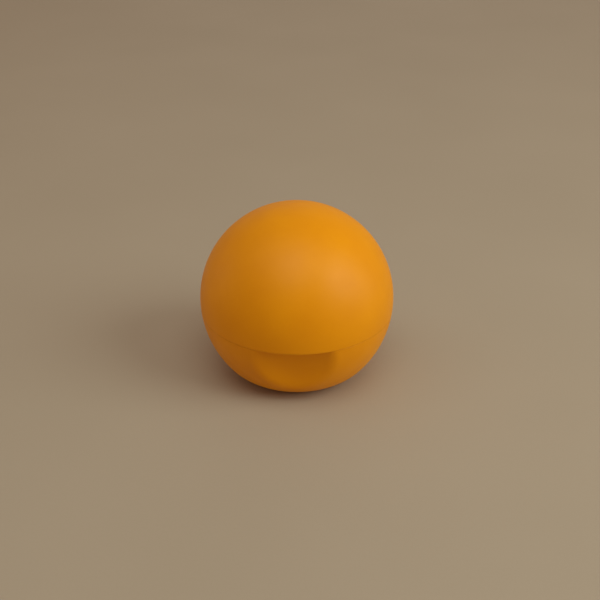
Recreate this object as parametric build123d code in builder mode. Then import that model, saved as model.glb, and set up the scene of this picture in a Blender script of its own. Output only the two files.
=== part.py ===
from build123d import *
import math
import os

# Ball-shaped lip balm container, 40 mm across, closed by a quick-turn cap.
# Millimetres. +Z is up, -Y is the side with the thumb recess.
# The origin is the centre of the flat foot that it stands on.

# ---- driving dimensions ----
ball_radius = 20.0  # outside of the cap
ball_centre = 16.4  # height of the ball's centre above the foot
seam_drop = 2.05  # parting line, below the ball's centre
seam_gap = 0.03  # daylight between the two rims
shell_wall = 1.3
rim_round = 0.05
edge_round = 0.2

# Base: its side is a slightly larger arc that leaves the ball tangentially at the seam.
side_radius = 1.06 * ball_radius
corner_radius = 0.45 * ball_radius
label_pocket_radius = 6.8
label_pocket_depth = 0.35
label_radius = 6.5
label_thickness = 0.12

# Thumb recess: a shallow dish in the front of the base, just under the seam.
recess_tilt = 13.4  # degrees that it faces below the horizontal
recess_distance = 17.73  # from the ball's centre to the middle of the dish
recess_dish_radius = 2.1 * ball_radius
recess_softness = 4.3  # rounding of its outline

# Neck and cap thread: three short ridges each, right-handed.
starts = 3
lead = 18.0  # rise in one turn
ridge_sweep = 60.0  # degrees covered by one ridge
ridge_first_angle = 15.0  # where the first ridge starts, round from +X
ridge_depth = 0.7
ridge_root = 1.3
ridge_crest = 0.6
neck_radius = 16.0
neck_bore = 14.8
neck_top = 20.6
neck_ridge_start = 16.7
cap_ridge_offset = 1.0  # a closed cap's ridges lie this far under the neck's
thread_clearance = 0.15

# Neck insert: flange that closes the bowl, and a ledge that holds the carrier.
flange_thickness = 1.2
flange_clearance = 0.05
ledge_top = 12.9
ledge_thickness = 1.0
ledge_bore = 13.4
socket_radius = 15.2

# Ribs in the bowl that carry the flange.
rib_count = 5
rib_thickness = 1.0
rib_inner_radius = 16.3
rib_first_angle = -30.0
rib_arc = 240.0

# Balm and its carrier.
balm_radius = 14.8
cast_gap = 0.03
carrier_radius = 14.7
carrier_plate = 1.2
carrier_slots = 8
carrier_slot_width = 3.2
carrier_slot_inner = 4.5
carrier_slot_outer = 12.0
clip_depth = 1.5
clip_wall = 1.0
clip_bead = 0.25
fin_height = 9.0
fin_length = 18.0
fin_thickness = 1.2
fin_window_radius = 1.6
fin_window_height = 4.0
fin_window_spread = 5.2

# Cap liner.
liner_bore = 15.2
liner_wall = 1.0
skirt_wall = 0.9
shoulder_gap = 0.15
shoulder_thickness = 1.0
shoulder_round = 0.6
liner_lift = 0.25  # underside of the liner above the seam
liner_flange = 1.2
snap_clearance = 0.05
snap_bead = 0.25

# ---- derived ----
seam_height = ball_centre - seam_drop
base_rim = seam_height - seam_gap / 2
cap_rim = seam_height + seam_gap / 2
rim_radius = math.sqrt(ball_radius**2 - seam_drop**2)
side_shift = side_radius - ball_radius
side_centre_x = -side_shift * rim_radius / ball_radius
side_centre_z = ball_centre + side_shift * seam_drop / ball_radius
cap_inner_radius = ball_radius - shell_wall
skirt_bore = neck_radius + ridge_depth + thread_clearance
skirt_radius = skirt_bore + skirt_wall
shoulder_height = neck_top + shoulder_gap
liner_foot = seam_height + liner_lift
snap_height = liner_foot + liner_flange / 2
flange_top = base_rim - rim_round / 2
flange_foot = flange_top - flange_thickness
cap_rim_angle = -math.degrees(math.asin((ball_centre - cap_rim) / ball_radius))
recess_reach = recess_distance + recess_dish_radius
recess_centre = (
    0,
    -recess_reach * math.cos(math.radians(recess_tilt)),
    ball_centre - recess_reach * math.sin(math.radians(recess_tilt)),
)

ridge_places = PolarLocations(0, starts, ridge_first_angle)

os.makedirs("parts", exist_ok=True)


def bowl_outline(inset):
    """Half section of the base, everywhere inset from its outer surface, up to the rim."""
    arc_radius = side_radius - inset
    low = math.degrees(math.asin((inset - side_centre_z) / arc_radius))
    high = math.degrees(math.asin((base_rim - side_centre_z) / arc_radius))
    with BuildSketch(Plane.XZ) as outline:
        with BuildLine():
            side = CenterArc((side_centre_x, side_centre_z), arc_radius, low, high - low)
            Polyline(side @ 1, (0, base_rim), (0, inset), side @ 0)
        make_face()
        corner = outline.vertices().group_by(Axis.Y)[0].sort_by(Axis.X)[-1]
        fillet(corner, corner_radius - inset)
    return outline.sketch


def bowl_space(inset):
    """The solid space inside the base, everywhere inset from its outer surface."""
    with BuildPart() as space:
        revolve(bowl_outline(inset), axis=Axis.Z)
        with Locations(recess_centre):
            Sphere(recess_dish_radius + inset, mode=Mode.SUBTRACT)
    return space.part


def thread_ridge(root_radius, depth, height):
    """One helical ridge: depth is positive for an outside thread, negative for an inside one."""
    buried = root_radius - 0.1 * depth
    crest = root_radius + depth
    with BuildPart() as ridge:
        with BuildLine():
            path = Helix(lead, lead * ridge_sweep / 360, root_radius, center=(0, 0, height))
        with BuildSketch(Plane.XZ):
            with BuildLine():
                Polyline(
                    (buried, height - ridge_root / 2),
                    (root_radius, height - ridge_root / 2),
                    (crest, height - ridge_crest / 2),
                    (crest, height + ridge_crest / 2),
                    (root_radius, height + ridge_root / 2),
                    (buried, height + ridge_root / 2),
                    close=True,
                )
            make_face()
        sweep(path=path.edge(), is_frenet=True)
    return ridge.part


# ---- base_shell: outer bowl with the thumb recess ----
with BuildPart() as flange_ribs:
    with PolarLocations(rib_inner_radius, rib_count, rib_first_angle, rib_arc, endpoint=True):
        Box(
            ball_radius,
            rib_thickness,
            flange_foot,
            align=(Align.MIN, Align.CENTER, Align.MIN),
        )
    add(bowl_space(shell_wall), mode=Mode.INTERSECT)

with BuildPart() as base_shell:
    revolve(bowl_outline(0), axis=Axis.Z)
    with Locations(recess_centre):
        Sphere(recess_dish_radius, mode=Mode.SUBTRACT)
    dish = base_shell.faces().filter_by(GeomType.SPHERE).sort_by(Axis.Y)[0]
    fillet(dish.edges().filter_by(lambda e: e.center().Z < base_rim - rim_round), recess_softness)
    fillet(base_shell.faces().sort_by(Axis.Z)[-1].edges(), rim_round)
    add(bowl_space(shell_wall), mode=Mode.SUBTRACT)
    with BuildSketch(Plane.XY):
        Circle(label_pocket_radius)
    extrude(amount=label_pocket_depth, mode=Mode.SUBTRACT)
    add(flange_ribs.part)
base_shell.part.label = "base_shell"
export_step(base_shell.part, "parts/base_shell.step")

# ---- foot_label: blank disc stuck in the pocket under the foot ----
with BuildPart() as foot_label:
    with BuildSketch(Plane.XY.offset(label_pocket_depth - label_thickness)):
        Circle(label_radius)
    extrude(amount=label_thickness)
foot_label.part.label = "foot_label"
export_step(foot_label.part, "parts/foot_label.step")

# ---- neck_insert: flange that closes the bowl, carrier socket and threaded neck ----
with BuildPart() as neck_body:
    with BuildSketch(Plane.XY.offset(flange_foot)):
        Circle(ball_radius)
    extrude(amount=flange_thickness)
    add(bowl_space(shell_wall + flange_clearance), mode=Mode.INTERSECT)
    with BuildSketch(Plane.XZ):
        Polygon(
            (0, ledge_top - ledge_thickness),
            (socket_radius - ledge_thickness, ledge_top - ledge_thickness),
            (socket_radius, ledge_top),
            (socket_radius, flange_foot),
            (neck_radius, flange_top),
            (neck_radius, neck_top),
            (0, neck_top),
            align=None,
        )
    revolve(axis=Axis.Z)
    with BuildSketch(Plane.XZ):
        Polygon(
            (0, 0),
            (ledge_bore, 0),
            (ledge_bore, ledge_top),
            (neck_bore, ledge_top),
            (neck_bore, neck_top),
            (0, neck_top),
            align=None,
        )
    revolve(axis=Axis.Z, mode=Mode.SUBTRACT)
    fillet(neck_body.edges().filter_by(GeomType.CIRCLE).group_by(Axis.Z)[-1], edge_round)

neck_ridge = thread_ridge(neck_radius, ridge_depth, neck_ridge_start)
neck_insert = neck_body.part + ridge_places * neck_ridge
neck_insert.label = "neck_insert"
export_step(neck_insert, "parts/neck_insert.step")

# ---- balm_carrier: slotted disc clipped in the neck, with two crossed fins ----
clip_radius = ledge_bore - snap_clearance
clip_foot = ledge_top - clip_depth
carrier_top = ledge_top + carrier_plate

with BuildPart() as balm_carrier:
    with BuildSketch(Plane.XZ):
        Polygon(
            (clip_radius - clip_wall, clip_foot),
            (clip_radius, clip_foot),
            (clip_radius + clip_bead, ledge_top - ledge_thickness - clip_bead),
            (clip_radius, ledge_top - ledge_thickness),
            (clip_radius, ledge_top),
            (carrier_radius, ledge_top),
            (carrier_radius, carrier_top),
            (0, carrier_top),
            (0, ledge_top),
            (clip_radius - clip_wall, ledge_top),
            align=None,
        )
    revolve(axis=Axis.Z)
    with BuildSketch(Plane.XY.offset(ledge_top)):
        with PolarLocations((carrier_slot_inner + carrier_slot_outer) / 2, carrier_slots):
            SlotOverall(carrier_slot_outer - carrier_slot_inner, carrier_slot_width)
    extrude(amount=carrier_plate, mode=Mode.SUBTRACT)
    for angle in (0, 90):
        with BuildSketch(Plane.XZ.rotated((0, 0, angle))) as fin:
            with Locations((0, carrier_top)):
                Rectangle(fin_length, fin_height, align=(Align.CENTER, Align.MIN))
            fillet(fin.vertices().group_by(Axis.Y)[-1], fin_height / 2)
            with GridLocations(2 * fin_window_spread, 0, 2, 1):
                with Locations((0, carrier_top + fin_window_height)):
                    Circle(fin_window_radius, mode=Mode.SUBTRACT)
        extrude(amount=fin_thickness / 2, both=True)
balm_carrier.part.label = "balm_carrier"
export_step(balm_carrier.part, "parts/balm_carrier.step")

# ---- balm: cast in the neck around the carrier's fins, domed above it ----
cast_radius = balm_radius - cast_gap

with BuildPart() as balm:
    with BuildSketch(Plane.XZ) as balm_section:
        with BuildLine():
            dome = CenterArc((0, ball_centre), cast_radius, 0, 90)
            Polyline(dome @ 1, (0, ledge_top), (cast_radius, ledge_top), dome @ 0)
        make_face()
    revolve(axis=Axis.Z)
    with BuildSketch(Plane.XY.offset(ledge_top)):
        Circle(ball_radius)
        Circle(carrier_radius - cast_gap, mode=Mode.SUBTRACT)
    extrude(amount=carrier_plate, mode=Mode.SUBTRACT)
    add(balm_carrier.part, mode=Mode.SUBTRACT)
balm.part.label = "balm"
export_step(balm.part, "parts/balm.step")

# ---- cap_liner: inner dome and threaded skirt, snapped into the cap ----
liner_radius = liner_bore + liner_wall
liner_flange_radius = cap_inner_radius - snap_clearance
liner_flange_top = liner_foot + liner_flange
shoulder_top = shoulder_height + shoulder_thickness
inner_angle = math.degrees(math.asin((shoulder_height - ball_centre) / liner_bore))
outer_angle = math.degrees(math.asin((shoulder_top - ball_centre) / liner_radius))

with BuildPart() as liner_body:
    with BuildSketch(Plane.XZ) as liner_section:
        with BuildLine():
            inner_dome = CenterArc((0, ball_centre), liner_bore, inner_angle, 90 - inner_angle)
            outer_dome = CenterArc((0, ball_centre), liner_radius, outer_angle, 90 - outer_angle)
            Line(inner_dome @ 1, outer_dome @ 1)
            Polyline(
                inner_dome @ 0,
                (skirt_bore, shoulder_height),
                (skirt_bore, liner_foot),
                (liner_flange_radius, liner_foot),
                (liner_flange_radius, snap_height - snap_bead),
                (liner_flange_radius + snap_bead, snap_height),
                (liner_flange_radius, snap_height + snap_bead),
                (liner_flange_radius, liner_flange_top),
                (skirt_radius, liner_flange_top),
                (skirt_radius, shoulder_top),
                outer_dome @ 0,
            )
        make_face()
        shoulder = liner_section.vertices().filter_by_position(
            Axis.Y, shoulder_top - edge_round, shoulder_top + edge_round
        )
        fillet(shoulder, shoulder_round)
    revolve(axis=Axis.Z)

cap_ridge = thread_ridge(skirt_bore, -ridge_depth, neck_ridge_start - cap_ridge_offset)
cap_liner = liner_body.part + ridge_places * cap_ridge
cap_liner.label = "cap_liner"
export_step(cap_liner, "parts/cap_liner.step")

# ---- cap_shell: outer dome ----
with BuildPart() as cap_shell:
    with BuildSketch(Plane.XZ) as cap_section:
        with BuildLine():
            outside = CenterArc((0, ball_centre), ball_radius, cap_rim_angle, 90 - cap_rim_angle)
            inside = CenterArc((0, ball_centre), cap_inner_radius, 0, 90)
            Line(outside @ 1, inside @ 1)
            Polyline(
                inside @ 0,
                (cap_inner_radius, snap_height + snap_bead),
                (cap_inner_radius + snap_bead, snap_height),
                (cap_inner_radius, snap_height - snap_bead),
                (cap_inner_radius, cap_rim),
                outside @ 0,
            )
        make_face()
        rim_corner = cap_section.vertices().group_by(Axis.Y)[0].sort_by(Axis.X)[-1]
        fillet(rim_corner, rim_round)
    revolve(axis=Axis.Z)
cap_shell.part.label = "cap_shell"
export_step(cap_shell.part, "parts/cap_shell.step")
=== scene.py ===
import math

import bmesh
import bpy
import numpy as np
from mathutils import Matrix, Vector


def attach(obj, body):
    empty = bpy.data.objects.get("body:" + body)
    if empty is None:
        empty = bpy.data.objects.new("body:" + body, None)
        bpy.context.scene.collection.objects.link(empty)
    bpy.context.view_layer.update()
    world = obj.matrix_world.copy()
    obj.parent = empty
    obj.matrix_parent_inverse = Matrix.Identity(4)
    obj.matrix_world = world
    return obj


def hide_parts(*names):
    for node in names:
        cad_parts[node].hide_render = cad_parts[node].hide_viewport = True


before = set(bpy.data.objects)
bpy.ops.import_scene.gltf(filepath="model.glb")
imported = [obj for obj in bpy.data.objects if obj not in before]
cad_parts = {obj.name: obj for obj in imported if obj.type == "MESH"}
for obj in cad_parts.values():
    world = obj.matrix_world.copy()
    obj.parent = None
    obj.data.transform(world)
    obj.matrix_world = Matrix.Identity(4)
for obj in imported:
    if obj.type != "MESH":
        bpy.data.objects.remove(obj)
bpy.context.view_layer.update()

# Ball-shaped lip balm container, 40 mm across, closed by a quick-turn cap. Metres, +Z up.
# The shells are rebuilt here as fine closed meshes; the pieces inside keep their meshes.

MM = 0.001

# ---- outer form ----
BALL_RADIUS = 20.0 * MM
BALL_CENTRE = 16.4 * MM
SEAM_DROP = 2.05 * MM
SEAM_GAP = 0.03 * MM
SHELL_WALL = 1.3 * MM
RIM_ROUND = 0.05 * MM
EDGE_ROUND = 0.08 * MM
BASE_RIM = BALL_CENTRE - SEAM_DROP - SEAM_GAP / 2
CAP_RIM = BALL_CENTRE - SEAM_DROP + SEAM_GAP / 2

# ---- base: side arc, corner arc and foot ----
SIDE_RADIUS = 1.06 * BALL_RADIUS
CORNER_RADIUS = 0.45 * BALL_RADIUS
POCKET_RADIUS = 6.8 * MM
POCKET_DEPTH = 0.35 * MM
RIM_RADIUS = math.sqrt(BALL_RADIUS**2 - SEAM_DROP**2)
SIDE_SHIFT = SIDE_RADIUS - BALL_RADIUS
SIDE_X = -SIDE_SHIFT * RIM_RADIUS / BALL_RADIUS
SIDE_Z = BALL_CENTRE + SIDE_SHIFT * SEAM_DROP / BALL_RADIUS
CORNER_Z = CORNER_RADIUS
CORNER_X = SIDE_X + math.sqrt((SIDE_RADIUS - CORNER_RADIUS) ** 2 - (SIDE_Z - CORNER_Z) ** 2)
CORNER_TURN = math.atan2(CORNER_Z - SIDE_Z, CORNER_X - SIDE_X)

# ---- thumb recess: a shallow spherical dish with a soft outline ----
RECESS_TILT = math.radians(13.4)
RECESS_DISTANCE = 17.73 * MM
RECESS_DISH_RADIUS = 2.1 * BALL_RADIUS
RECESS_SOFTNESS = 4.3 * MM
RECESS_REACH = RECESS_DISTANCE + RECESS_DISH_RADIUS
RECESS_AXIS = np.array([0, -math.cos(RECESS_TILT), -math.sin(RECESS_TILT)])
RECESS_CENTRE = np.array([0, 0, BALL_CENTRE]) + RECESS_AXIS * RECESS_REACH
# The angle between the dish and the ball along the dish's outline, and the reach of its rounding.
RECESS_EDGE = math.acos(
    (RECESS_REACH**2 - BALL_RADIUS**2 - RECESS_DISH_RADIUS**2)
    / (2 * BALL_RADIUS * RECESS_DISH_RADIUS)
)
RECESS_BLEND = RECESS_SOFTNESS * math.tan(RECESS_EDGE / 2) * math.sin(RECESS_EDGE)

# ---- ribs in the base, under the flange of the neck ----
RIB_ANGLES = (-30, 30, 90, 150, 210)
RIB_THICKNESS = 1.0 * MM
RIB_INNER_RADIUS = 16.3 * MM
RIB_TOP = 13.0 * MM
RIB_BURIED = 0.6 * SHELL_WALL
RIB_POINTS = 9

# ---- cap ----
CAP_INNER_RADIUS = BALL_RADIUS - SHELL_WALL
SNAP_HEIGHT = 15.2 * MM
SNAP_BEAD = 0.25 * MM

# ---- mesh fineness ----
SEGMENTS = 384
DOME_RINGS = 110
SIDE_RINGS = 72
CORNER_RINGS = 44
INNER_RINGS = 24
ROUND_RINGS = 5
ANGLES = np.arange(SEGMENTS) * 2 * math.pi / SEGMENTS
SHARP_ANGLE = math.radians(40)
# How near the rings come to a pole: the angle on a dome, in radians, and the radius on a flat.
POLE_ANGLE = 0.02
POLE_RADIUS = 1.0 * MM

# ---- how the base's rings find its surface ----
# A ring's points slide towards the axis, no further than SLIDE_LIMIT of the way. They aim at a
# height that is AIM_SHARE of the way from their own to the rim's.
SLIDE_LIMIT = 0.5
AIM_SHARE = 0.6
HALVINGS = 40


# ======== mesh helpers ========


def new_object(name, data):
    """An object in the scene that holds a mesh, a light or a camera."""
    obj = bpy.data.objects.new(name, data)
    bpy.context.scene.collection.objects.link(obj)
    return obj


def finish_mesh(name, mesh):
    """Outward normals, smooth faces with crisp corners, and an object that holds the mesh."""
    work = bmesh.new()
    work.from_mesh(mesh)
    bmesh.ops.recalc_face_normals(work, faces=work.faces)
    work.to_mesh(mesh)
    work.free()
    mesh.shade_smooth()
    mesh.set_sharp_from_angle(angle=SHARP_ANGLE)
    return new_object(name, mesh)


def circle(rho, z):
    """One ring of points about the Z axis."""
    return np.stack([rho * np.cos(ANGLES), rho * np.sin(ANGLES), np.full(SEGMENTS, z)], axis=-1)


def arc(centre, radius, start, end, count):
    """Points (rho, z) along an arc of a half section."""
    rho, z = centre
    turns = np.linspace(start, end, count)
    return [(rho + radius * math.cos(turn), z + radius * math.sin(turn)) for turn in turns]


def closed_shell(rings, extra_points=(), extra_faces=()):
    """Rings from one pole to the other, joined by quads, with a fan over each end."""
    last_ring = (len(rings) - 1) * SEGMENTS
    first_pole = len(rings) * SEGMENTS
    last_pole = first_pole + 1
    points = np.concatenate(rings).tolist()
    points.append([0, 0, float(rings[0][0][2])])
    points.append([0, 0, float(rings[-1][0][2])])
    faces = []
    for k in range(SEGMENTS):
        m = (k + 1) % SEGMENTS
        for low in range(0, last_ring, SEGMENTS):
            high = low + SEGMENTS
            faces.append((low + k, low + m, high + m, high + k))
        faces.append((first_pole, m, k))
        faces.append((last_pole, last_ring + k, last_ring + m))
    offset = len(points)
    points.extend(extra_points)
    faces.extend(tuple(offset + v for v in face) for face in extra_faces)
    mesh = bpy.data.meshes.new("shell")
    mesh.from_pydata(points, [], faces)
    mesh.validate()
    return mesh


# ======== base_bowl ========


def bowl_field(points, inset):
    """How far points lie outside the base's surface, moved in by inset. It is negative inside, and
    the wall and the dish meet in a smooth maximum."""
    rho = np.hypot(points[..., 0], points[..., 1])
    z = points[..., 2]
    side = np.hypot(rho - SIDE_X, z - SIDE_Z) - SIDE_RADIUS
    corner = np.hypot(rho - CORNER_X, z - CORNER_Z) - CORNER_RADIUS
    turn = np.arctan2(z - CORNER_Z, rho - CORNER_X)
    wall = np.where(turn > CORNER_TURN, side, corner)
    wall = np.where((rho < CORNER_X) & (z < CORNER_Z), -z, wall)
    dish = RECESS_DISH_RADIUS - np.linalg.norm(points - RECESS_CENTRE, axis=-1)
    blend = np.maximum(RECESS_BLEND - np.abs(wall - dish), 0) / RECESS_BLEND
    return np.maximum(wall, dish) + blend**2 * RECESS_BLEND / 4 + inset


def bowl_ring(rho, z, aim_z, inset):
    """A ring whose points start at (rho, z) and slide towards the axis at aim_z until they meet the
    surface, found by halving."""
    start = circle(rho, z)
    way = np.array([0, 0, aim_z]) - start
    low = np.zeros(SEGMENTS)
    high = np.full(SEGMENTS, SLIDE_LIMIT)
    for _ in range(HALVINGS):
        halfway = (low + high) / 2
        outside = bowl_field(start + way * halfway[:, None], inset) > 0
        low = np.where(outside, halfway, low)
        high = np.where(outside, high, halfway)
    return start + way * low[:, None]


def wall_rings(inset, side_count, corner_count):
    """Rings of the bowl's wall from its foot to just under its rim."""
    side_radius = SIDE_RADIUS - inset
    rim_angle = math.asin((BASE_RIM - RIM_ROUND - SIDE_Z) / side_radius)
    corner_radius = CORNER_RADIUS - inset
    section = arc((CORNER_X, CORNER_Z), corner_radius, -math.pi / 2, CORNER_TURN, corner_count)
    section += arc((SIDE_X, SIDE_Z), side_radius, CORNER_TURN, rim_angle, side_count)[1:]
    return [bowl_ring(rho, z, z + (BASE_RIM - z) * AIM_SHARE, inset) for rho, z in section]


def rim_rings(round_radius, wall_inset, sign, count):
    """Rings round an edge of the rim: sign 1 leads in from the outside, -1 out from the inside."""
    rings = []
    for turn in np.linspace(0, math.pi / 2, count)[1:]:
        z = BASE_RIM - round_radius * (1 - math.sin(turn))
        inset = wall_inset + sign * round_radius * (1 - math.cos(turn))
        rings.append(bowl_ring(BALL_RADIUS, z, z, inset))
    return rings


def rib_mesh(angle):
    """Points and faces of one gusset between the bowl's wall and the flange above."""
    inner_wall = SIDE_RADIUS - SHELL_WALL
    foot = SIDE_Z - math.sqrt(inner_wall**2 - (RIB_INNER_RADIUS - SIDE_X) ** 2)
    heights = np.linspace(foot, RIB_TOP, RIB_POINTS)
    section = [(RIB_INNER_RADIUS, foot)]
    for z in heights:
        section.append((SIDE_X + math.sqrt(inner_wall**2 - (z - SIDE_Z) ** 2) + RIB_BURIED, z))
    section.append((RIB_INNER_RADIUS, RIB_TOP))
    along = np.array([math.cos(math.radians(angle)), math.sin(math.radians(angle)), 0])
    across = np.array([-along[1], along[0], 0]) * RIB_THICKNESS / 2
    points = []
    for side in (-1, 1):
        for rho, z in section:
            points.append((along * rho + across * side + np.array([0, 0, z])).tolist())
    count = len(section)
    faces = [tuple(range(count)), tuple(range(2 * count - 1, count - 1, -1))]
    for k in range(count):
        m = (k + 1) % count
        faces.append((k, m, count + m, count + k))
    return points, faces


def make_base():
    """The lower shell: the foot's pocket and ring, the outside, the rim, the inside and the ribs."""
    edge = EDGE_ROUND
    foot = [(POLE_RADIUS, POCKET_DEPTH), (POCKET_RADIUS - 2 * edge, POCKET_DEPTH)]
    foot += arc((POCKET_RADIUS - edge, POCKET_DEPTH - edge), edge, math.pi / 2, 0, ROUND_RINGS)
    foot += arc((POCKET_RADIUS + edge, edge), edge, math.pi, 1.5 * math.pi, ROUND_RINGS)
    foot += [((POCKET_RADIUS + CORNER_X) / 2, 0)]
    rings = [circle(rho, z) for rho, z in foot]
    rings += wall_rings(0, SIDE_RINGS, CORNER_RINGS)
    rings += rim_rings(RIM_ROUND, 0, 1, ROUND_RINGS + 1)
    rings += rim_rings(edge, SHELL_WALL, -1, ROUND_RINGS)[::-1]
    rings += wall_rings(SHELL_WALL, INNER_RINGS, INNER_RINGS // 2)[::-1]
    rings += [circle(CORNER_X / 2, SHELL_WALL), circle(POLE_RADIUS, SHELL_WALL)]
    rib_points = []
    rib_faces = []
    for angle in RIB_ANGLES:
        points, faces = rib_mesh(angle)
        rib_faces += [tuple(len(rib_points) + v for v in face) for face in faces]
        rib_points += points
    return finish_mesh("base_bowl", closed_shell(rings, rib_points, rib_faces))


# ======== cap_dome ========


def make_cap():
    """The upper shell: down the outside, round the rim, past the snap groove and up the inside."""
    centre = (0, BALL_CENTRE)
    rim_z = CAP_RIM + RIM_ROUND
    rim_x = math.sqrt((BALL_RADIUS - RIM_ROUND) ** 2 - (BALL_CENTRE - rim_z) ** 2)
    rim_angle = math.atan2(rim_z - BALL_CENTRE, rim_x)
    near_pole = math.pi / 2 - POLE_ANGLE
    section = arc(centre, BALL_RADIUS, near_pole, rim_angle, DOME_RINGS)
    section += arc((rim_x, rim_z), RIM_ROUND, rim_angle, -math.pi / 2, ROUND_RINGS + 1)[1:]
    edge_centre = (CAP_INNER_RADIUS + EDGE_ROUND, CAP_RIM + EDGE_ROUND)
    section += arc(edge_centre, EDGE_ROUND, -math.pi / 2, -math.pi, ROUND_RINGS)
    section += [
        (CAP_INNER_RADIUS, SNAP_HEIGHT - SNAP_BEAD),
        (CAP_INNER_RADIUS + SNAP_BEAD, SNAP_HEIGHT),
        (CAP_INNER_RADIUS, SNAP_HEIGHT + SNAP_BEAD),
    ]
    section += arc(centre, CAP_INNER_RADIUS, 0, near_pole, INNER_RINGS * 2)
    return finish_mesh("cap_dome", closed_shell([circle(rho, z) for rho, z in section]))


# ======== material helpers ========

# Spans of a noise's values. Most of them lie in the wide span, and the others pick out patches.
WIDE_SPAN = (0.3, 0.7)
MIDDLE_SPAN = (0.35, 0.7)
UPPER_SPAN = (0.5, 0.8)
HIGH_SPAN = (0.55, 0.8)
TOP_SPAN = (0.6, 0.8)
# The share of a speck's radius that has its full strength.
SPECK_CORE = 0.4


def srgb(red, green, blue):
    """A colour given in display values from 0 to 255, as linear values with alpha."""
    channels = []
    for value in (red / 255, green / 255, blue / 255):
        channels.append(value / 12.92 if value <= 0.04045 else ((value + 0.055) / 1.055) ** 2.4)
    return (*channels, 1.0)


class Material:
    """A Principled material, and short ways to feed it from procedural nodes."""

    def __init__(self, name, **fixed):
        self.material = bpy.data.materials.new(name)
        self.material.use_nodes = True
        self.tree = self.material.node_tree
        self.surface = self.tree.nodes["Principled BSDF"]
        for socket, value in fixed.items():
            self.surface.inputs[socket.replace("_", " ")].default_value = value
        self.place = self.node("ShaderNodeTexCoord").outputs["Object"]

    def node(self, kind, inputs=None, **settings):
        """A new node with its settings, and its inputs fed by name or number."""
        made = self.tree.nodes.new(kind)
        for name, value in settings.items():
            setattr(made, name, value)
        for name, value in (inputs or {}).items():
            self.feed(made.inputs[name], value)
        return made

    def feed(self, socket, value):
        """Link a socket to another node's output, or give it a constant value."""
        if isinstance(value, bpy.types.NodeSocket):
            self.tree.links.new(value, socket)
        else:
            socket.default_value = value

    def shifted(self, shift, stretch=(1, 1, 1)):
        """Object coordinates moved and stretched, so that two patterns don't line up."""
        inputs = {"Vector": self.place, "Location": shift, "Scale": stretch}
        return self.node("ShaderNodeMapping", inputs).outputs["Vector"]

    def noise(self, size, detail, shift=(0, 0, 0), stretch=(1, 1, 1), distortion=0.0):
        """Noise from 0 to 1 whose features are about size metres across."""
        inputs = {
            "Vector": self.shifted(shift, stretch),
            "Scale": 1 / size,
            "Detail": detail,
            "Distortion": distortion,
        }
        return self.node("ShaderNodeTexNoise", inputs).outputs[0]

    def remap(self, value, span, result):
        """The result that goes from its first value to its second as value crosses the span."""
        made = self.node("ShaderNodeMapRange", {"Value": value})
        for socket, number in zip(("From Min", "From Max", "To Min", "To Max"), (*span, *result)):
            self.feed(made.inputs[socket], number)
        return made.outputs["Result"]

    def maths(self, operation, first, second):
        """One operation on two values."""
        made = self.node("ShaderNodeMath", operation=operation)
        self.feed(made.inputs[0], first)
        self.feed(made.inputs[1], second)
        return made.outputs[0]

    def ramp(self, value, low_colour, high_colour):
        """A colour that goes from the first to the second as value crosses the wide span."""
        made = self.node("ShaderNodeValToRGB", {"Fac": value})
        steps = zip(made.color_ramp.elements, WIDE_SPAN, (low_colour, high_colour))
        for element, position, colour in steps:
            element.position = position
            element.color = colour
        return made.outputs["Color"]

    def tinted(self, base, share, tint):
        """Base colour moved towards tint by share."""
        made = self.node("ShaderNodeMix", data_type="RGBA", clamp_factor=True)
        sockets = [s for s in made.inputs if s.enabled]
        for socket, value in zip(sockets, (share, base, tint)):
            self.feed(socket, value)
        return next(s for s in made.outputs if s.enabled)

    def specks(self, spacing, radius, share, shift):
        """A mask of small round specks, one in each of a share of cells of the given spacing."""
        inputs = {"Vector": self.shifted(shift), "Scale": 1 / spacing, "Randomness": 1.0}
        cells = self.node("ShaderNodeTexVoronoi", inputs)
        edge = (radius / spacing, SPECK_CORE * radius / spacing)
        near = self.remap(cells.outputs["Distance"], edge, (0.0, 1.0))
        parts = self.node("ShaderNodeSeparateColor", {"Color": cells.outputs["Color"]})
        chosen = self.maths("LESS_THAN", parts.outputs[0], share)
        return self.maths("MULTIPLY", near, chosen)

    def bump(self, *layers):
        """Layers of relief, each (height from 0 to 1, depth in metres)."""
        normal = None
        for height, depth in layers:
            inputs = {"Height": height, "Distance": depth, "Strength": 1.0}
            made = self.node("ShaderNodeBump", inputs)
            if normal is not None:
                self.feed(made.inputs["Normal"], normal)
            normal = made.outputs["Normal"]
        self.feed(self.surface.inputs["Normal"], normal)

    def set(self, socket, value):
        """Feed one of the surface's own sockets."""
        self.feed(self.surface.inputs[socket], value)


# ======== materials ========

# How far the painted seam shade (with some grime) reaches from a rim, the shares of the colour that
# it and dust take up, and the roughness that dust adds.
SEAM_SHADE_REACH = 0.35 * MM
SEAM_SHADE_SHARE = 0.15
DUST_SHARE = 0.35
DUST_ROUGHNESS = 0.3


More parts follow.
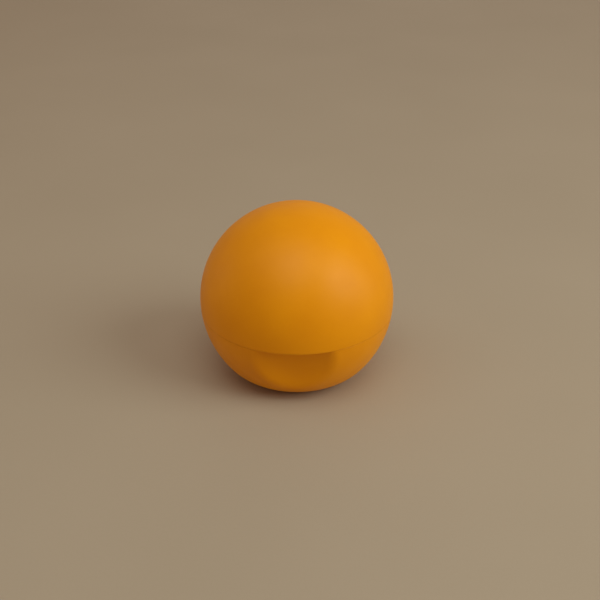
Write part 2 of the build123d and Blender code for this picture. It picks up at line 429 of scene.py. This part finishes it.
def soft_touch_orange(name, shift, rim_height, rim_side):
    """Matt, rubbery orange plastic: fine grain, faint mottling, smudges, dust, and painted shade
    with some grime in a darker band along the rim edge.
    rim_side is 1 where the shell is above its rim and -1 where it is below."""
    made = Material(name, Specular_IOR_Level=0.2)
    mottle = made.noise(9 * MM, detail=4.0, shift=shift)
    colour = made.ramp(mottle, srgb(239, 153, 0), srgb(245, 160, 0))
    fine = made.remap(made.noise(0.5 * MM, detail=2.0, shift=shift), UPPER_SPAN, (0.0, 0.06))
    colour = made.tinted(colour, fine, srgb(225, 130, 20))
    height = made.node("ShaderNodeSeparateXYZ", {"Vector": made.place}).outputs["Z"]
    # Painted shade along the seam, with some grime: the orange darkens in patches within a short
    # reach of the rim.
    rim_span = (rim_height, rim_height + rim_side * SEAM_SHADE_REACH)
    seam_shade = made.remap(height, rim_span, (SEAM_SHADE_SHARE, 0.0))
    patches = made.remap(made.noise(1.5 * MM, detail=3.0, shift=shift), WIDE_SPAN, (0.3, 1.0))
    colour = made.tinted(colour, made.maths("MULTIPLY", seam_shade, patches), srgb(120, 66, 10))
    dust = made.specks(spacing=2.6 * MM, radius=0.09 * MM, share=0.3, shift=shift)
    colour = made.tinted(colour, made.maths("MULTIPLY", dust, DUST_SHARE), srgb(235, 215, 185))
    made.set("Base Color", colour)
    smudge = made.noise(7 * MM, detail=3.0, shift=shift, stretch=(1, 1, 1.6), distortion=0.8)
    rough = made.remap(smudge, MIDDLE_SPAN, (0.47, 0.39))
    made.set("Roughness", made.maths("ADD", rough, made.maths("MULTIPLY", dust, DUST_ROUGHNESS)))
    grain = made.noise(0.12 * MM, detail=1.0, shift=shift)
    wave = made.noise(3.5 * MM, detail=1.0, shift=shift)
    made.bump((wave, 0.012 * MM), (grain, 0.0025 * MM), (dust, 0.01 * MM))
    return made.material


def satin_orange():
    """Moulded neck and flange: the shells' orange, smoother, with faint flow and rubbed patches."""
    made = Material("satin_orange", Specular_IOR_Level=0.4)
    flow = made.noise(6 * MM, detail=2.0, shift=(0.2, 0, 0), stretch=(1, 1, 0.6), distortion=0.6)
    colour = made.ramp(flow, srgb(238, 147, 2), srgb(243, 155, 6))
    rubbed = made.noise(1.8 * MM, detail=3.0, shift=(0, 0.3, 0), stretch=(1, 1, 2.0))
    worn = made.remap(rubbed, HIGH_SPAN, (0.0, 0.12))
    made.set("Base Color", made.tinted(colour, worn, srgb(246, 182, 90)))
    made.set("Roughness", made.remap(rubbed, MIDDLE_SPAN, (0.27, 0.36)))
    made.bump((flow, 0.006 * MM), (made.noise(0.2 * MM, detail=1.0), 0.0008 * MM))
    return made.material


def natural_white(name, shift):
    """Unpigmented polypropylene: milky, a little see-through, with flow marks and dull patches."""
    made = Material(name, Specular_IOR_Level=0.45, Subsurface_Weight=0.25)
    made.set("Subsurface Radius", (2.5 * MM, 2.2 * MM, 1.8 * MM))
    flow = made.noise(6 * MM, detail=2.0, shift=shift, stretch=(1, 1, 0.6), distortion=0.5)
    colour = made.ramp(flow, srgb(230, 226, 214), srgb(237, 234, 224))
    wax = made.noise(1.6 * MM, detail=4.0, shift=shift, distortion=0.6)
    waxy = made.remap(wax, TOP_SPAN, (0.0, 0.12))
    made.set("Base Color", made.tinted(colour, waxy, srgb(244, 229, 196)))
    made.set("Roughness", made.remap(wax, MIDDLE_SPAN, (0.3, 0.46)))
    made.bump((flow, 0.012 * MM), (made.noise(0.2 * MM, detail=2.0, shift=shift), 0.002 * MM))
    return made.material


def balm_wax():
    """Cast wax and oil: creamy, softly lit from within, with faint clouds, pits and dull bloom."""
    made = Material("balm_wax", Specular_IOR_Level=0.45, Subsurface_Weight=0.45)
    made.set("Subsurface Radius", (4.0 * MM, 2.8 * MM, 1.8 * MM))
    cloud = made.noise(
        10 * MM, detail=1.0, shift=(0.1, 0.2, 0), stretch=(1, 1, 1.4), distortion=0.4
    )
    colour = made.ramp(cloud, srgb(245, 233, 205), srgb(248, 238, 214))
    bloom = made.noise(2.2 * MM, detail=3.0, shift=(0.3, 0, 0.1))
    dull = made.remap(bloom, UPPER_SPAN, (0.0, 0.25))
    made.set("Base Color", made.tinted(colour, dull, srgb(252, 248, 238)))
    made.set("Roughness", made.remap(bloom, MIDDLE_SPAN, (0.34, 0.44)))
    pits = made.specks(spacing=2.4 * MM, radius=0.09 * MM, share=0.25, shift=(0.2, 0.1, 0))
    unpitted = made.maths("SUBTRACT", 1.0, pits)
    made.bump((cloud, 0.02 * MM), (bloom, 0.003 * MM), (unpitted, 0.012 * MM))
    return made.material


def label_film():
    """Blank matt film: pale, with a fibrous grain and a little handling dirt."""
    made = Material("label_film", Specular_IOR_Level=0.4)
    fibres = made.noise(0.35 * MM, detail=4.0, stretch=(1, 0.25, 1), distortion=1.5)
    colour = made.ramp(fibres, srgb(228, 223, 212), srgb(240, 236, 227))
    dirt = made.noise(3 * MM, detail=4.0, shift=(0.4, 0, 0))
    soiled = made.remap(dirt, TOP_SPAN, (0.0, 0.15))
    made.set("Base Color", made.tinted(colour, soiled, srgb(186, 176, 156)))
    made.set("Roughness", made.remap(fibres, WIDE_SPAN, (0.5, 0.62)))
    made.bump((fibres, 0.004 * MM), (dirt, 0.01 * MM))
    return made.material


# ======== the object ========

cap_dome = make_cap()
cap_coating = soft_touch_orange("soft_touch_orange_cap", (0.5, 0.1, 0.2), CAP_RIM, 1)
cap_dome.data.materials.append(cap_coating)
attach(cap_dome, "cap_shell")
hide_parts("cap_shell")

base_bowl = make_base()
base_coating = soft_touch_orange("soft_touch_orange_base", (0.1, 0.4, 0.3), BASE_RIM, -1)
base_bowl.data.materials.append(base_coating)
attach(base_bowl, "base")
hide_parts("base_shell")

KEPT_NODE_MATERIALS = {
    "neck_insert": satin_orange(),
    "cap_liner": natural_white("natural_white_liner", (0.1, 0.0, 0.3)),
    "balm_carrier": natural_white("natural_white_carrier", (0.3, 0.2, 0.0)),
    "balm": balm_wax(),
    "foot_label": label_film(),
}
for name, material in KEPT_NODE_MATERIALS.items():
    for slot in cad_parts[name].material_slots:
        slot.material = material

# ======== floor, light and camera ========

FLOOR_HALF = 3.0
FLOOR_CELLS = 8
FADE_SPAN = (0.38, 0.58)
# The glow of the surround and of the far floor, as a shader's inputs.
SURROUND = {"Color": (1.0, 0.69, 0.55, 1.0), "Strength": 0.325}


def floor_paper():
    """Matt beige sheet, faintly mottled, that fades into the surround far from the object."""
    made = Material("floor_paper", Specular_IOR_Level=0.15)
    cloud = made.noise(60 * MM, detail=2.0)
    colour = made.ramp(cloud, srgb(175, 162, 138), srgb(178, 165, 141))
    tooth = made.noise(0.4 * MM, detail=2.0)
    shaded = made.remap(tooth, UPPER_SPAN, (0.0, 0.08))
    made.set("Base Color", made.tinted(colour, shaded, srgb(160, 147, 122)))
    made.set("Roughness", made.remap(tooth, WIDE_SPAN, (0.65, 0.75)))
    made.bump((tooth, 0.01 * MM))
    away = made.node("ShaderNodeVectorMath", {0: made.place}, operation="LENGTH").outputs["Value"]
    faded = made.remap(away, FADE_SPAN, (0.0, 1.0))
    glow = made.node("ShaderNodeEmission", SURROUND)
    inputs = {0: faded, 1: made.surface.outputs["BSDF"], 2: glow.outputs["Emission"]}
    mixed = made.node("ShaderNodeMixShader", inputs)
    made.feed(made.tree.nodes["Material Output"].inputs["Surface"], mixed.outputs["Shader"])
    return made.material


def make_floor():
    """A flat sheet, far wider than the object."""
    work = bmesh.new()
    bmesh.ops.create_grid(work, x_segments=FLOOR_CELLS, y_segments=FLOOR_CELLS, size=FLOOR_HALF)
    mesh = bpy.data.meshes.new("floor")
    work.to_mesh(mesh)
    work.free()
    mesh.materials.append(floor_paper())
    return new_object("floor", mesh)


make_floor()

LIGHT_DISTANCE = 0.6
# Name, degrees round from the object's right towards its front, degrees up, disc size, watts, and
# whether it lights matt surfaces and shows in gloss.
STUDIO_LIGHTS = (
    ("key", 22, 34, 0.40, 1.43, True, True),
    ("key_low", 22, 8, 0.40, 0.13, True, True),
    ("key_high", 18, 60, 0.40, 0.09, True, True),
    ("overhead", 81, 69, 0.40, 0.70, True, True),
    ("overhead_left", 162, 62, 0.40, 0.22, True, True),
    ("low_right", 0, 10, 0.30, 0.25, True, True),
    ("low_left", 190, 10, 0.40, 0.14, True, True),
    ("back", 275, 16, 0.50, 0.35, True, False),
    ("sheen", 96, 57, 0.30, 0.42, False, True),
)
LIGHT_COLOUR = (0.925, 1.0, 1.0)

# The camera's place, in the same degrees as the lights.
CAMERA_AZIMUTH = 88.35
CAMERA_ELEVATION = 28.5
CAMERA_DISTANCE = 11 * BALL_RADIUS
CAMERA_LENS = 63.45
CAMERA_SHIFT = (0.0053, -0.006)

middle = Vector((0, 0, BALL_CENTRE))


def aimed(name, data, azimuth, elevation, distance):
    """An object that looks at the middle of the ball from a distance."""
    turn = math.radians(azimuth)
    rise = math.radians(elevation)
    reach = math.cos(rise)
    away = Vector((math.cos(turn) * reach, -math.sin(turn) * reach, math.sin(rise)))
    obj = new_object(name, data)
    obj.location = middle + away * distance
    obj.rotation_euler = (-away).to_track_quat("-Z", "Y").to_euler()
    return obj


def studio_light(name, azimuth, elevation, size, power, on_matt, in_gloss):
    """A disc of light that the camera doesn't see."""
    data = bpy.data.lights.new(name, "AREA")
    data.shape = "DISK"
    data.size = size
    data.energy = power
    data.color = LIGHT_COLOUR
    obj = aimed(name, data, azimuth, elevation, LIGHT_DISTANCE)
    obj.visible_camera = False
    obj.visible_diffuse = on_matt
    obj.visible_glossy = in_gloss


for light in STUDIO_LIGHTS:
    studio_light(*light)

world = bpy.data.worlds.new("surround")
world.use_nodes = True
for socket, value in SURROUND.items():
    world.node_tree.nodes["Background"].inputs[socket].default_value = value
bpy.context.scene.world = world
bpy.context.scene.view_settings.view_transform = "Standard"

camera_data = bpy.data.cameras.new("camera")
camera_data.lens = CAMERA_LENS
camera_data.shift_x, camera_data.shift_y = CAMERA_SHIFT
camera = aimed("camera", camera_data, CAMERA_AZIMUTH, CAMERA_ELEVATION, CAMERA_DISTANCE)
bpy.context.scene.camera = camera
